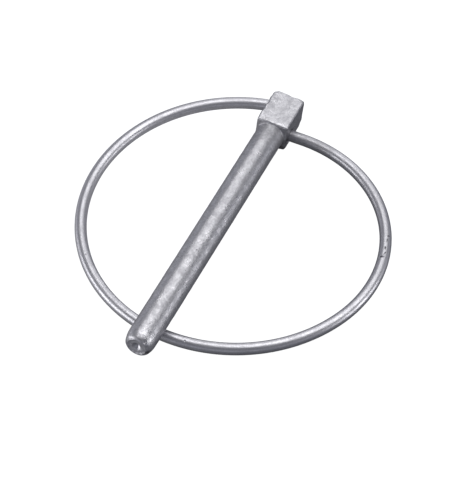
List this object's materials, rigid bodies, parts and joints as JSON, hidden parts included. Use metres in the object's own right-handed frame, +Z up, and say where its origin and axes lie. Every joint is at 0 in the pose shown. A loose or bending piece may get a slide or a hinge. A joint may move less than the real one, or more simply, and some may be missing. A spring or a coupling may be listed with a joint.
{
  "type": "linch pin",
  "caption": "Steel pin with a square head and a round shank, and a spring-wire ring that swings across the shank near its tip to lock it.",
  "frame": {"origin": "on the shank's axis, where the shank leaves the head", "axes": "+X along the shank's axis from the head to the tip, +Y to the side where the ring's end is nearer the tip, +Z up, away from the side where the ring rests"},
  "size_m": [0.0974, 0.0864, 0.0129],
  "materials": {
    "plated_steel": "dull satin zinc plating",
    "spring_wire": "smooth zinc-plated spring wire"
  },
  "bodies": {
    "pin": {"pin": "plated_steel"},
    "ring": {"ring": "spring_wire"}
  },
  "joints": [
    {"name": "ring_swing", "type": "hinge", "parent": "pin", "child": "ring", "pos_m": [-0.006, 0, 0], "axis": [0, 1, 0], "range_deg": [0, 351.6], "deforming": ["ring"]}
  ]
}
